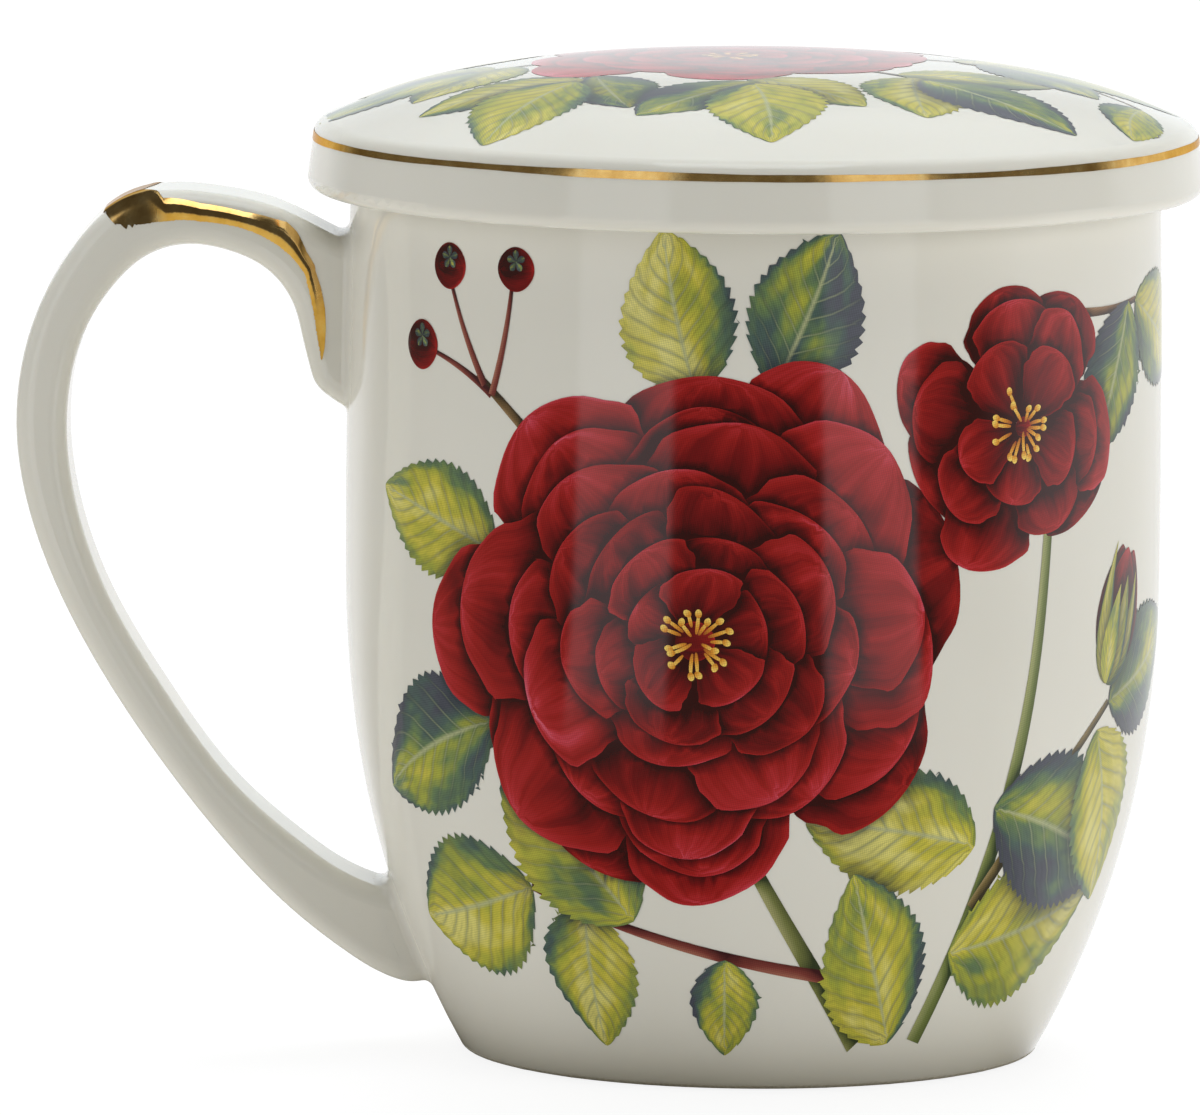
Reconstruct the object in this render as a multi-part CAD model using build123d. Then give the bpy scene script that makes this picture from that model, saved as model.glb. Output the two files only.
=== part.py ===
from build123d import *
from math import pi
import os

# A china tea mug with a loose lid and a steel infuser basket that hangs on the mug's rim.
# Frame: origin at the centre of the foot, +Z up, handle towards -X. All sizes in millimetres.

os.makedirs("parts", exist_ok=True)
STANDING = (Align.CENTER, Align.CENTER, Align.MIN)

# ---- how closely an edge must lie where it is looked for ----
edge_match = 0.001
seam_match = 0.05

# ---- driving dimensions: mug body ----
mug_height = 97.0
rim_radius = 43.9
belly_bulge = 0.4
belly_height = 56.0
foot_radius = 31.2
foot_taper_power = 2.4
china_wall = 2.6
floor_thickness = 3.4
inside_corner_radius = 9.0
foot_ring_width = 3.2
foot_recess = 2.0
foot_edge_radius = 0.8
rim_edge_radius = 0.7

# ---- driving dimensions: handle ----
handle_reach = 35.8
handle_top_drop = 3.0
handle_low_height = 7.4
handle_width = 13.0
handle_edge_radius = 2.0
handle_root_fillet = 1.2
handle_root_stub = 2.4

# ---- driving dimensions: lid ----
lid_overlap = 3.3
lid_rise = 7.0
lid_crown_power = 3.2
lid_rim_height = 7.3
lid_rim_flare = 1.0
lid_shell = 4.0
lid_shoulder_radius = 2.0
lid_edge_radius = 1.4
lid_skirt_wall = 3.2
lid_skirt_clearance = 0.5
lid_locating_depth = 5.5
lid_locating_wall = 2.6
lid_locating_clearance = 0.6
lid_ring_edge_radius = 1.0
lid_hollow_fall = 1.8

# ---- driving dimensions: infuser ----
sheet = 0.6
flange_overhang = 0.6
flange_lip_depth = 1.8
neck_clearance = 0.7
neck_height = 11.0
basket_radius = 34.0
basket_clearance_below = 28.0
weld_gap = 0.1
skirt_height = 4.0
base_band_height = 4.5
base_ledge_width = 4.0
slot_width = 1.6
slot_height = 7.0
slot_row_gap = 2.2
slot_pitch = 5.0
slot_margin = 1.5
floor_hole_radius = 1.1
floor_hole_pitch = 4.5

# ---- worked out from the above ----
belly_radius = rim_radius + belly_bulge
inner_rim_radius = rim_radius - china_wall
flange_bottom = mug_height
flange_top = flange_bottom + sheet
lip_inner_radius = rim_radius + flange_overhang
lip_outer_radius = lip_inner_radius + sheet
lid_seat = flange_top
skirt_inner_radius = lip_outer_radius + lid_skirt_clearance
lid_radius = skirt_inner_radius + lid_skirt_wall
lid_bottom = flange_bottom - lid_overlap
lid_shoulder_height = lid_bottom + lid_rim_height
lid_top = lid_shoulder_height + lid_rise
locating_bottom = lid_seat - lid_locating_depth
neck_outer_radius = inner_rim_radius - neck_clearance
neck_inner_radius = neck_outer_radius - sheet
locating_outer_radius = neck_inner_radius - lid_locating_clearance
locating_inner_radius = locating_outer_radius - lid_locating_wall
neck_bottom = flange_bottom - neck_height
sleeve_outer_radius = basket_radius
sleeve_inner_radius = sleeve_outer_radius - sheet
mug_floor_top = foot_recess + floor_thickness
band_bottom = mug_floor_top + basket_clearance_below
ledge_top = band_bottom + sheet
band_inner_radius = sleeve_outer_radius + weld_gap
band_outer_radius = band_inner_radius + sheet
ledge_inner_radius = sleeve_inner_radius - base_ledge_width
cutter_depth = 4 * sheet
handle_top = mug_height - handle_top_drop


def save(part, name):
    part.label = name
    export_step(part, f"parts/{name}.step")


def revolved(edges):
    """The solid that a closed outline in the XZ plane sweeps about the Z axis."""
    return revolve(make_face(Wire(edges)), axis=Axis.Z)


def ring_profile(points):
    """The solid ring whose section has these corners, given as (radius, height)."""
    return revolved(Polyline(*[(r, 0, z) for r, z in points], close=True).edges())


# ---- body shape ----
def outer_radius(height):
    """Outside radius of the body: a power curve from foot to belly, then a slow draw-in to the rim."""
    if height < belly_height:
        drop = (belly_height - height) / belly_height
        return belly_radius - (belly_radius - foot_radius) * drop**foot_taper_power
    rise = (height - belly_height) / (mug_height - belly_height)
    return belly_radius - (belly_radius - rim_radius) * rise**2


def body_side(offset, lowest, steps=12):
    """A spline up the body's side, the given distance outside the outer face."""
    points = []
    for step in range(steps + 1):
        height = lowest + (mug_height - lowest) * step / steps
        points.append((outer_radius(height) + offset, 0, height))
    return Spline(*points)


def body_block(offset=0.0, lowest=0.0):
    """The space inside the body's side, grown outwards by the offset, as a solid block."""
    side = body_side(offset, lowest)
    return revolved([
        side,
        Line(side @ 1, (0, 0, mug_height)),
        Line((0, 0, mug_height), (0, 0, lowest)),
        Line((0, 0, lowest), side @ 0),
    ])


def edges_at(solid, radius, height):
    """The circular edges of a revolved solid at one radius and height."""
    found = []
    for edge in solid.edges().filter_by(GeomType.CIRCLE):
        if abs(edge.radius - radius) < edge_match and abs(edge.center().Z - height) < edge_match:
            found.append(edge)
    return found


# ---- handle ----
# The strap's side view, from the upper root to the lower one, as (share of the reach out from the
# belly, share of the height above the low point). Both outlines start and end inside the body.
handle_outer = [
    (-0.25, 0.922), (0.033, 0.941), (0.205, 0.975), (0.387, 0.992), (0.529, 0.996), (0.677, 0.982),
    (0.821, 0.926), (0.935, 0.841), (0.995, 0.688), (0.942, 0.572), (0.781, 0.422), (0.562, 0.282),
    (0.340, 0.167), (0.158, 0.091), (-0.01, 0.037), (-0.154, 0.004), (-0.21, -0.001), (-0.28, 0.004),
    (-0.36, 0.012),
]
handle_inner = [
    (-0.25, 0.690), (-0.02, 0.721), (0.022, 0.731), (0.057, 0.741), (0.088, 0.754), (0.107, 0.775),
    (0.127, 0.807), (0.156, 0.852), (0.234, 0.896), (0.357, 0.921), (0.487, 0.928), (0.604, 0.913),
    (0.694, 0.880), (0.775, 0.830), (0.842, 0.690), (0.816, 0.606), (0.720, 0.490), (0.543, 0.366),
    (0.311, 0.240), (0.132, 0.176), (0.007, 0.140), (-0.12, 0.118), (-0.33, 0.112),
]


def handle_spline(outline):
    points = []
    for out, up in outline:
        x = -belly_radius - out * handle_reach
        z = handle_low_height + up * (handle_top - handle_low_height)
        points.append((x, 0, z))
    return Spline(*points)


def on_body(edge):
    """True if an edge lies on the body's side."""
    for share in (0, 0.25, 0.5, 0.75, 1):
        point = edge @ share
        if abs((point.X**2 + point.Y**2) ** 0.5 - outer_radius(point.Z)) > seam_match:
            return False
    return True


def mug_filled():
    """The body as a solid block with the strap joined on, its edges and roots rounded."""
    outer = handle_spline(handle_outer)
    inner = handle_spline(handle_inner)
    side_view = make_face(Wire([outer, Line(outer @ 1, inner @ 1), inner, Line(inner @ 0, outer @ 0)]))
    strap = extrude(side_view, amount=handle_width / 2, dir=(0, 1, 0), both=True)
    strap = fillet(strap.edges().filter_by(GeomType.BSPLINE), handle_edge_radius)
    joined = body_block() + strap
    seam = [edge for edge in joined.edges().filter_by(GeomType.BSPLINE) if on_body(edge)]
    return fillet(seam, handle_root_fillet)


def mug_handle(filled_mug):
    """The strap beyond the stubs on the body, whose end faces it meets."""
    return filled_mug - body_block(handle_root_stub)


# ---- mug body ----
def mug_body(filled_mug):
    """The vessel, with the short stubs that the handle's roots are luted to."""
    hollow = body_block(-china_wall, mug_floor_top)
    corner_radius = outer_radius(mug_floor_top) - china_wall
    hollow = fillet(edges_at(hollow, corner_radius, mug_floor_top), inside_corner_radius)
    recess = Cylinder(foot_radius - foot_ring_width, foot_recess, align=STANDING)
    body = (filled_mug & body_block(handle_root_stub)) - hollow - recess
    body = fillet(edges_at(body, foot_radius, 0), foot_edge_radius)
    rim = edges_at(body, rim_radius, mug_height) + edges_at(body, inner_rim_radius, mug_height)
    return fillet(rim, rim_edge_radius)


# ---- lid ----
def lid_profile():
    """Half the lid's section: crown, rim, skirt, seat on the flange, locating ring and hollow."""
    crown_radius = lid_radius - lid_rim_flare
    steps = 6
    crown = []
    hollow = []
    hollow_top = lid_top - lid_shell
    for step in range(steps + 1):
        share = step / steps
        crown.append((crown_radius * share, 0, lid_top - lid_rise * share**lid_crown_power))
        fall = lid_hollow_fall * share**lid_crown_power
        hollow.append((locating_inner_radius * share, 0, hollow_top - fall))
    crown_edge = Spline(*crown, tangents=[(1, 0, 0), Vector(*crown[-1]) - Vector(*crown[-2])])
    hollow_edge = Spline(*hollow, tangents=[(1, 0, 0), Vector(*hollow[-1]) - Vector(*hollow[-2])])
    rim = Polyline(
        crown[-1],
        (lid_radius, 0, lid_bottom),
        (skirt_inner_radius, 0, lid_bottom),
        (skirt_inner_radius, 0, lid_seat),
        (locating_outer_radius, 0, lid_seat),
        (locating_outer_radius, 0, locating_bottom),
        (locating_inner_radius, 0, locating_bottom),
        hollow[-1],
    )
    axis_side = Line(hollow[0], crown[0])
    return Wire([crown_edge, *rim.edges(), hollow_edge, axis_side])


def lid():
    shell = revolve(make_face(lid_profile()), axis=Axis.Z)
    shoulder = edges_at(shell, lid_radius - lid_rim_flare, lid_shoulder_height)
    shell = fillet(shoulder, lid_shoulder_radius)
    skirt = edges_at(shell, lid_radius, lid_bottom) + edges_at(shell, skirt_inner_radius, lid_bottom)
    shell = fillet(skirt, lid_edge_radius)
    ring = edges_at(shell, locating_outer_radius, locating_bottom)
    ring += edges_at(shell, locating_inner_radius, locating_bottom)
    return fillet(ring, lid_ring_edge_radius)


# ---- infuser ----
def infuser_collar():
    """Pressed ring: lip, flange on the mug's rim, neck inside it, and a step in to the basket."""
    lip_bottom = flange_bottom - flange_lip_depth
    return ring_profile([
        (lip_inner_radius, lip_bottom),
        (lip_outer_radius, lip_bottom),
        (lip_outer_radius, flange_top),
        (neck_inner_radius, flange_top),
        (neck_inner_radius, neck_bottom + sheet),
        (sleeve_inner_radius, neck_bottom + sheet),
        (sleeve_inner_radius, neck_bottom),
        (band_inner_radius, neck_bottom),
        (band_inner_radius, neck_bottom - skirt_height),
        (band_outer_radius, neck_bottom - skirt_height),
        (band_outer_radius, neck_bottom),
        (neck_outer_radius, neck_bottom),
        (neck_outer_radius, flange_bottom),
        (lip_inner_radius, flange_bottom),
    ])


def infuser_sleeve():
    """Steel tube with rows of slots, standing on the base band's ledge, its top under the collar's step."""
    outside = Cylinder(sleeve_outer_radius, neck_bottom - ledge_top, align=STANDING)
    inside = Cylinder(sleeve_inner_radius, neck_bottom - ledge_top, align=STANDING)
    tube = Pos(0, 0, ledge_top) * (outside - inside)
    lowest = band_bottom + base_band_height + slot_margin
    highest = neck_bottom - skirt_height - slot_margin
    rows = int((highest - lowest + slot_row_gap) / (slot_height + slot_row_gap))
    spare = highest - lowest - rows * slot_height - (rows - 1) * slot_row_gap
    columns = round(2 * pi * sleeve_outer_radius / slot_pitch)
    slots = []
    for row in range(rows):
        middle = lowest + spare / 2 + slot_height / 2 + row * (slot_height + slot_row_gap)
        for column in range(columns):
            turn = 360 * (column + 0.5 * (row % 2)) / columns
            cutter = Box(cutter_depth, slot_width, slot_height)
            slots.append(Pos(0, 0, middle) * Rot(0, 0, turn) * Pos(sleeve_outer_radius, 0, 0) * cutter)
    return tube - slots


def infuser_base_band():
    """Pressed ring round the foot of the sleeve, with a ledge that carries the sleeve and the floor."""
    return ring_profile([
        (ledge_inner_radius, band_bottom),
        (band_outer_radius, band_bottom),
        (band_outer_radius, band_bottom + base_band_height),
        (band_inner_radius, band_bottom + base_band_height),
        (band_inner_radius, ledge_top),
        (ledge_inner_radius, ledge_top),
    ])


def infuser_floor():
    """Steel disc with rings of round holes, resting on the base band's ledge."""
    disc = Cylinder(sleeve_inner_radius - weld_gap, sheet, align=STANDING)
    disc = Pos(0, 0, ledge_top) * disc
    rings = int((ledge_inner_radius - floor_hole_radius) / floor_hole_pitch)
    holes = [Pos(0, 0, ledge_top) * Cylinder(floor_hole_radius, cutter_depth)]
    for ring in range(1, rings + 1):
        count = round(2 * pi * ring)
        for step in range(count):
            angle = 360 * step / count
            place = Rot(0, 0, angle) * Pos(ring * floor_hole_pitch, 0, ledge_top)
            holes.append(place * Cylinder(floor_hole_radius, cutter_depth))
    return disc - holes


filled_mug = mug_filled()
save(mug_body(filled_mug), "mug_body")
save(mug_handle(filled_mug), "mug_handle")
save(lid(), "lid")
save(infuser_collar(), "infuser_collar")
save(infuser_sleeve(), "infuser_sleeve")
save(infuser_base_band(), "infuser_base_band")
save(infuser_floor(), "infuser_floor")
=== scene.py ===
"""Looks of a lidded china tea mug with a steel infuser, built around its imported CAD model."""
import math
from dataclasses import dataclass

import bpy
import numpy as np
from mathutils import Matrix, Vector
from mathutils.bvhtree import BVHTree
from mathutils.geometry import delaunay_2d_cdt


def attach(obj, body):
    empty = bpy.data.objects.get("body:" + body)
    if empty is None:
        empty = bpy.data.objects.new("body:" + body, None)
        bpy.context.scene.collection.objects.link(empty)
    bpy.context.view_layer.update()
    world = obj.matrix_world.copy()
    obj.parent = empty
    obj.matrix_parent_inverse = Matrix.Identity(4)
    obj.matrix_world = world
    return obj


MM = 0.001

# ---- picture frame: the camera stands in front of the mug, on -Y, a little above it ----
FRAME_WIDTH_PX = 1200.0
FRAME_HEIGHT_PX = 1115.0
FOCAL_PX = 14714.0
SENSOR_MM = 36.0
CAMERA_DISTANCE = 1.6
CAMERA_ELEVATION_DEG = 6.867
CAMERA_ROLL_DEG = 0.49
CAMERA_CLIP_START = 0.05
AIM_HEIGHT = 0.06
AIM_PX = (752.6, 497.3)

# ---- print, in mm unless named otherwise ----
PRINT_RADIUS_MM = 44.0
PRINT_LIFT_MM = 0.04
PRINT_GRID_MM = 1.3
GRID_ROW_SHARE = 0.866
LEAST_TRIANGLE_MM2 = 1e-6
OUTLINES_MEET_MM = 1e-4
BODY_PRINT_LOW_MM = 3.5
BODY_PRINT_HIGH_MM = 94.6
LID_PRINT_RADIUS_MM = 47.0
BACK_PRINT_MIDDLE_MM = 140.0
BODY_READINGS_MM = np.arange(1.0, 96.0, 1.0)
LID_READINGS_MM = np.arange(0.5, 47.6, 1.0)
NORMAL_STEP_MM = 0.7

# A shape's painted shadow on those below it fades over this reach, and far shapes cast none.
SHADOW_REACH_MM = 1.6
SHADOW_NONE_MM = 50.0
NEIGHBOUR_MM = 60.0

SHEET_UV_MM = 100.0
SCREEN_PITCH_MM = 0.34
SCREEN_ANGLE_DEG = 33.0
SCREEN_CONTRAST = 0.2

# ---- gold line round the lid's shoulder ----
LINE_HEIGHT_MM = 99.7
LINE_WIDTH_MM = 0.75
LINE_STEPS = 720
LINE_ROWS = 5
LINE_WANDER_MM = 0.06
LINE_WANDER_WAVES = (3, 7, 13)
LINE_SWELL = 0.16
LINE_SWELL_WAVES = (5, 11, 23, 41)
LINE_SATIN = 0.12
SHOULDER_READINGS_MM = np.arange(LINE_HEIGHT_MM - 1.2, LINE_HEIGHT_MM + 1.0, 0.1)
GOLD_LIFT_MM = 0.05

# ---- gilding on the handle's arch ----
# Turn is the angle round the arch's centre, from straight up towards the mug. Wrap is the angle
# round the strap's section, from its outer face down its side. Each station gives the turn and
# the wraps of the gold's two borders.
ARCH_CENTRE_MM = (-60.0, 72.0)
STRAP_DEPTH_MM = 6.0
GILDING_STATIONS_DEG = [
    (-29.0, 0, 54), (-27.5, 0, 69), (-26.0, 0, 77), (-24.0, 0, 82), (-20.0, 0, 86), (-17.0, 4, 88),
    (-15.0, 28, 89), (-13.0, 50, 90), (-11.0, 68, 91), (0.0, 74.5, 91.5), (13.5, 75, 90.5),
    (23.5, 70, 90), (27.0, 67, 90), (31.0, 69, 90), (37.0, 76, 90), (43.5, 78.5, 91),
    (49.0, 76, 89), (56.0, 75, 87), (63.0, 76.5, 86), (70.5, 80, 85), (75.0, 83.5, 84.5),
]
GILDING_TURN_STEP_DEG = 0.5
GILDING_COLUMNS = 30
RAGGED_TURNS_DEG = (-29.0, -24.0, -19.0)
RAGGED_AMOUNTS_DEG = (3.0, 1.6, 0.25)
# The gold is a domed stroke: the tilt of its face, up from the strap's side, at shares of its
# width, and near its tip.
STROKE_SHARES = (0.0, 0.28, 0.42, 0.72, 1.0)
STROKE_TILTS_DEG = (48.0, 37.0, 12.0, 0.0, -20.0)
STROKE_TIP_TILTS_DEG = (21.0, 9.0)
STROKE_FROM_TURN_DEG = (-17.0, -9.0)
STROKE_TIP_FROM_TURN_DEG = (44.0, 60.0)
# From this share of the band's width down, the gold turns rough and a brighter yellow: partly a duller
# finish, partly a painted reflection of the table.
SATIN_AND_REFLECTION_FROM_SHARE = (0.6, 0.72)
STROKE_DOME_MM = 0.2

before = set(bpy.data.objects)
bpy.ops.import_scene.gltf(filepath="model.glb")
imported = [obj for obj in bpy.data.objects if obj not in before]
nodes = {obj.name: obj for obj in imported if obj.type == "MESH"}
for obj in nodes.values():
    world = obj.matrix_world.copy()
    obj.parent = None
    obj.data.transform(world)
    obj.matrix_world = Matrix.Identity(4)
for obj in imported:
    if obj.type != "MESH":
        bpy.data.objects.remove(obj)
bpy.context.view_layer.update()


# ==== small tools ====
def between(value, limits):
    """0 below the lower limit, 1 above the upper, smooth between."""
    share = min(max((value - limits[0]) / (limits[1] - limits[0]), 0.0), 1.0)
    return share * share * (3.0 - 2.0 * share)


def new_piece(name, mesh, body, materials, normals=None):
    """A smooth piece of a mesh that rides on a body; normals are one to each vertex."""
    mesh.polygons.foreach_set("use_smooth", [True] * len(mesh.polygons))
    mesh.update()
    if normals is not None:
        mesh.normals_split_custom_set_from_vertices(normals.reshape(-1, 3).tolist())
    for material in materials:
        mesh.materials.append(material)
    piece = bpy.data.objects.new(name, mesh)
    bpy.context.scene.collection.objects.link(piece)
    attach(piece, body)
    return piece


# Azimuths at which a turned piece is read: all clear of the handle, which stands at 180 degrees.
READING_ANGLES = np.radians(np.arange(-150.0, 151.0, 20.0))
FAR_MM = 160.0


class Surface:
    """A CAD node's surface, read with rays; all lengths in millimetres."""

    def __init__(self, node):
        mesh = nodes[node].data
        points = [vertex.co / MM for vertex in mesh.vertices]
        self.tree = BVHTree.FromPolygons(points, [tuple(face.vertices) for face in mesh.polygons])

    def hit(self, start, aim):
        """The first point met on the way from start to aim, and the surface's direction there."""
        start = Vector(start)
        place, normal, _, _ = self.tree.ray_cast(start, (Vector(aim) - start).normalized())
        return place, normal


def ring(radius):
    """Points in plan at the reading angles."""
    return [(radius * math.cos(angle), radius * math.sin(angle)) for angle in READING_ANGLES]


def outside_radius(surface, heights):
    """Outside radius of a turned piece at each height, read from the side."""
    radii = []
    for z in heights:
        places = [surface.hit((x, y, z), (0, 0, z))[0] for x, y in ring(FAR_MM)]
        radii.append(max(math.hypot(place.x, place.y) for place in places))
    return np.array(radii)


def top_height(surface, radii):
    """Height of a turned piece's top face at each radius, read from above."""
    return np.array([
        max(surface.hit((x, y, FAR_MM), (x, y, 0))[0].z for x, y in ring(radius)) for radius in radii
    ])


class Profile:
    """A smooth curve through readings at even steps."""

    def __init__(self, knots, values):
        self.knots = knots
        self.values = values
        self.slopes = np.gradient(values, knots)

    def __call__(self, place):
        place = np.clip(place, self.knots[0], self.knots[-1])
        cell = np.clip(np.searchsorted(self.knots, place) - 1, 0, len(self.knots) - 2)
        width = self.knots[cell + 1] - self.knots[cell]
        share = (place - self.knots[cell]) / width
        rest = 1.0 - share
        return (
            self.values[cell] * (1 + 2 * share) * rest**2
            + self.slopes[cell] * width * share * rest**2
            + self.values[cell + 1] * (3 - 2 * share) * share**2
            - self.slopes[cell + 1] * width * share**2 * rest
        )


# ==== node helpers ====
class Nodes:
    """Builds a material's or world's nodes with short calls."""

    def __init__(self, owner):
        owner.use_nodes = True
        self.owner = owner
        self.tree = owner.node_tree
        self.tree.nodes.clear()

    def put(self, socket, value):
        """Gives a socket a link or a plain value."""
        if isinstance(value, bpy.types.NodeSocket):
            self.tree.links.new(value, socket)
        else:
            socket.default_value = value

    def add(self, kind, *values, **settings):
        """A new node with its settings, and links or values for its first sockets."""
        node = self.tree.nodes.new(kind)
        for name, value in settings.items():
            setattr(node, name, value)
        for socket, value in zip(node.inputs, values):
            self.put(socket, value)
        return node

    def named(self, kind, **values):
        """A new node with links or values for sockets by name, with _ for a space."""
        node = self.add(kind)
        for name, value in values.items():
            self.put(node.inputs[name.replace("_", " ")], value)
        return node

    def math(self, operation, *values, clamp=False):
        return self.add("ShaderNodeMath", *values, operation=operation, use_clamp=clamp).outputs[0]

    def plus(self, first, second, clamp=False):
        return self.math("ADD", first, second, clamp=clamp)

    def minus(self, first, second, clamp=False):
        return self.math("SUBTRACT", first, second, clamp=clamp)

    def times(self, first, second):
        return self.math("MULTIPLY", first, second)

    def line(self, value, gain, shift, clamp=False):
        return self.math("MULTIPLY_ADD", value, gain, shift, clamp=clamp)

    def larger(self, first, second):
        return self.math("MAXIMUM", first, second)

    def step(self, value, low, high):
        """0 below low, 1 above high, smooth between."""
        return self.add("ShaderNodeMapRange", value, low, high, interpolation_type="SMOOTHSTEP").outputs[0]

    def mix(self, share, first, second, blend="MIX"):
        node = self.add("ShaderNodeMix", share, data_type="RGBA", blend_type=blend)
        self.put(node.inputs[6], first)
        self.put(node.inputs[7], second)
        return node.outputs[2]

    def ramp(self, value, stops):
        node = self.add("ShaderNodeValToRGB", value)
        while len(node.color_ramp.elements) < len(stops):
            node.color_ramp.elements.new(0.5)
        for element, (place, colour) in zip(node.color_ramp.elements, stops):
            element.position = place
            element.color = (*colour, 1.0)
        return node.outputs[0]

    def noise(self, vector, scale=1.0, detail=3.0, roughness=0.5):
        return self.named(
            "ShaderNodeTexNoise", Vector=vector, Scale=scale, Detail=detail, Roughness=roughness).outputs[0]

    def bump(self, height, strength, depth_mm):
        return self.named(
            "ShaderNodeBump", Height=height, Strength=strength, Distance=depth_mm * MM).outputs[0]

    def combine(self, x, y, z):
        return self.add("ShaderNodeCombineXYZ", x, y, z).outputs[0]

    def parts(self, vector):
        return tuple(self.add("ShaderNodeSeparateXYZ", vector).outputs)

    def attribute(self, name, output):
        node = self.add("ShaderNodeAttribute", attribute_name=name, attribute_type="GEOMETRY")
        return node.outputs[output]

    def uv(self, name):
        return self.add("ShaderNodeUVMap", uv_map=name).outputs[0]

    def object_place(self):
        return self.add("ShaderNodeTexCoord").outputs["Object"]

    def ray_is(self, kind):
        return self.add("ShaderNodeLightPath").outputs[f"Is {kind} Ray"]

    def principled(self, colour, roughness, normal, **others):
        return self.named(
            "ShaderNodeBsdfPrincipled", Base_Color=colour, Roughness=roughness, Normal=normal, **others)

    def diffuse(self, colour):
        return self.add("ShaderNodeBsdfDiffuse", colour)

    def shaders(self, share, first, second):
        return self.add("ShaderNodeMixShader", share, first.outputs[0], second.outputs[0])

    def finish(self, shader, kind="ShaderNodeOutputMaterial"):
        self.add(kind, shader.outputs[0])
        return self.owner


def new_material(name):
    return Nodes(bpy.data.materials.new(name))


def rgb(red, green, blue):
    return (red, green, blue, 1.0)


# ==== materials: china ====
# In the materials, a pair of plain numbers is a pattern's gain and shift, unless its name says more.
GLAZE_IOR = 1.5
GLAZE_ROUGHNESS = (0.03, 0.055)
BARE_ROUGHNESS = 0.75
BARE_BELOW_MM = (0.25, 0.7)
CHINA_STOPS = [(0.3, (0.775, 0.75, 0.665)), (0.7, (0.815, 0.792, 0.71))]
BISCUIT_STOPS = [(0.3, (0.62, 0.575, 0.48)), (0.7, (0.78, 0.74, 0.65))]


def glazed(net, colour, bare=None, **others):
    """A clear fired glaze with the faint ripple of a dipped piece; bare is 1 where there is none."""
    place = net.object_place()
    rough = net.line(net.noise(place, scale=90.0, detail=2.0), *GLAZE_ROUGHNESS)
    if bare is not None:
        rough = net.line(bare, BARE_ROUGHNESS, rough, clamp=True)
    ripple = net.bump(net.noise(place, scale=220.0, detail=2.0), strength=0.02, depth_mm=0.3)
    return net.finish(net.principled(colour, rough, ripple, IOR=GLAZE_IOR, **others))


def china_material():
    """Warm white china under a clear glaze, with a bare foot."""
    net = new_material("glazed_china")
    place = net.object_place()
    white = net.ramp(net.noise(place, scale=28.0), CHINA_STOPS)
    biscuit = net.ramp(net.noise(place, scale=2600.0, detail=2.0), BISCUIT_STOPS)
    height = net.parts(place)[2]
    bare = net.minus(1.0, net.step(height, BARE_BELOW_MM[0] * MM, BARE_BELOW_MM[1] * MM))
    return glazed(
        net, net.mix(bare, white, biscuit), bare, Subsurface_Weight=0.08,
        Subsurface_Radius=(0.9, 0.7, 0.5), Subsurface_Scale=1.5 * MM)


# ==== materials: print ====
# The petals' folds and veins: scales across and along, then gain and shift.
PETAL_FOLDS = (3.2, 1.1, 0.75, -0.36)
PETAL_VEINS = (26.0, 1.6, 0.2, -0.1)
PETAL_SEEDS = 37.0
PETAL_ROOT_TO_TIP = (0.42, 0.22)
PETAL_TINT = (0.26, -0.13)
PETAL_SHADOW = 0.62
PETAL_RIM = (9.0, -8.1)
PETAL_RIM_LIGHT = 0.16
PETAL_STOPS = [
    (0.0, (0.03, 0.0005, 0.001)), (0.2, (0.085, 0.001, 0.002)),
    (0.4, (0.18, 0.003, 0.004)), (0.6, (0.32, 0.009, 0.008)),
    (0.78, (0.45, 0.021, 0.025)), (0.9, (0.56, 0.048, 0.072)),
    (1.0, (0.67, 0.13, 0.19)),
]

# The leaves' patches and hatching: scales along and across, then gain and shift.
LEAF_PATCHES = (2.2, 1.3, 1.7, -0.2)
LEAF_HATCH = (4.5, 3.0, 0.8, -0.37)
LEAF_SEEDS = 53.0
LEAF_TINT = (0.62, -0.34)
LEAF_LIT_SIDE = 0.13
LEAF_DARK_MARGIN = 0.42
LEAF_SHADOW = 0.7
LEAF_DARK = rgb(0.022, 0.032, 0.04)
LEAF_STOPS = [
    (0.0, (0.075, 0.08, 0.105)), (0.2, (0.08, 0.13, 0.11)),
    (0.38, (0.15, 0.23, 0.09)), (0.56, (0.38, 0.4, 0.055)),
    (0.78, (0.6, 0.53, 0.065)), (1.0, (0.72, 0.66, 0.19)),
]
VEIN_PAIRS = 9.0
VEIN_SLANT = 2.6
VEIN_END = 1.05
# The shade beside the side veins, the side veins and the midrib: sharpness, strength and colour.
VEIN_SHADE = (4.0, 0.35, rgb(0.03, 0.05, 0.045))
SIDE_VEIN = (11.0, 0.7, rgb(0.36, 0.4, 0.22))
MIDRIB = (16.0, 0.9, rgb(0.46, 0.48, 0.26))

STEM_SEEDS = 19.0
STEM_MOTTLE_SCALE = 6.0
STEM_MOTTLE = 0.3
STEM_LIT_SIDE = (0.35, 0.45)
STEM_SHADOW = 0.6
STEM_GREEN = [(0.0, (0.03, 0.055, 0.02)), (0.5, (0.16, 0.22, 0.06)), (1.0, (0.42, 0.46, 0.2))]
STEM_RED = [(0.0, (0.05, 0.01, 0.012)), (0.5, (0.21, 0.045, 0.035)), (1.0, (0.42, 0.17, 0.11))]

STAMEN_ROOT_TO_TIP = 0.8
STAMEN_TINT = 0.3
STAMEN_STOPS = [(0.0, (0.3, 0.045, 0.01)), (0.5, (0.72, 0.3, 0.03)), (1.0, (0.93, 0.66, 0.14))]


def paint_inputs(net):
    """Along and across a printed shape, and its shadow, tint and seed."""
    along, sideways, _ = net.parts(net.uv("shape_uv"))
    facts = net.add("ShaderNodeSeparateColor", net.attribute("paint", "Color"))
    return along, net.line(sideways, 2.0, -1.0), *facts.outputs


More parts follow.
